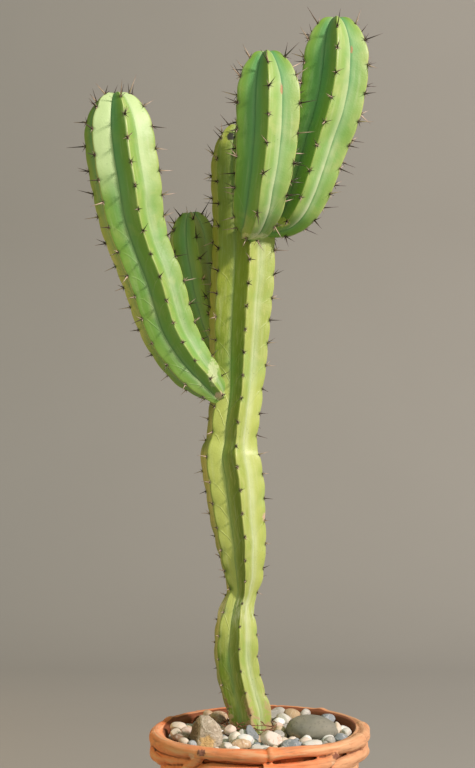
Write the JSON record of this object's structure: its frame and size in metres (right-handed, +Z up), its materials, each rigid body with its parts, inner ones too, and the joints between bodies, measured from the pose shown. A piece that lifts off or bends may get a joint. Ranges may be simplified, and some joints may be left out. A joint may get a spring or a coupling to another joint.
{
  "type": "potted bilberry cactus",
  "caption": "Columnar bilberry cactus with ribbed, spiny upright arms, growing in a terracotta pot with an intertwined-branch rim, its soil covered with mixed pebbles.",
  "frame": {"origin": "centre of the pot's flat base, on the surface that it stands on", "axes": "+Z up along the plant, -Y towards the front that the picture shows, +X to the right of it"},
  "size_m": [0.4121, 0.3058, 1.2523],
  "materials": {
    "terracotta": "unglazed orange-brown terracotta",
    "soil": "dark gritty potting soil",
    "stem": "waxy yellow-green to blue-green skin",
    "gravel": "mixed small river pebbles",
    "stone_green_grey": "smooth water-worn stone",
    "stone_quartz": "pinkish white quartz",
    "stone_blue_grey": "smooth blue-grey stone",
    "stone_white": "smooth white stone",
    "stone_cream": "smooth cream stone",
    "stone_brown": "smooth brown stone",
    "stone_tan": "speckled tan stone",
    "stone_rock": "rough broken rock with an ochre face",
    "stone_slate": "split blue-grey slate"
  },
  "bodies": {
    "root": {"pot": "terracotta", "soil": "soil", "trunk": "stem", "left_arm": "stem", "inner_arm": "stem", "centre_arm": "stem", "right_arm": "stem", "gravel_bed": "gravel", "pebble_large": "stone_green_grey", "pebble_quartz": "stone_quartz", "pebble_grey_front": "stone_blue_grey", "pebble_white_flat": "stone_white", "pebble_pale_left": "stone_cream", "pebble_brown_flat": "stone_brown", "pebble_tan_back": "stone_tan", "pebble_speckled": "stone_tan", "pebble_white_front": "stone_white", "pebble_white_right": "stone_white", "pebble_olive_back": "stone_tan", "pebble_blue_back": "stone_blue_grey", "pebble_blue_right": "stone_blue_grey", "rock_angular": "stone_rock", "slate_wedge": "stone_slate"}
  },
  "joints": []
}
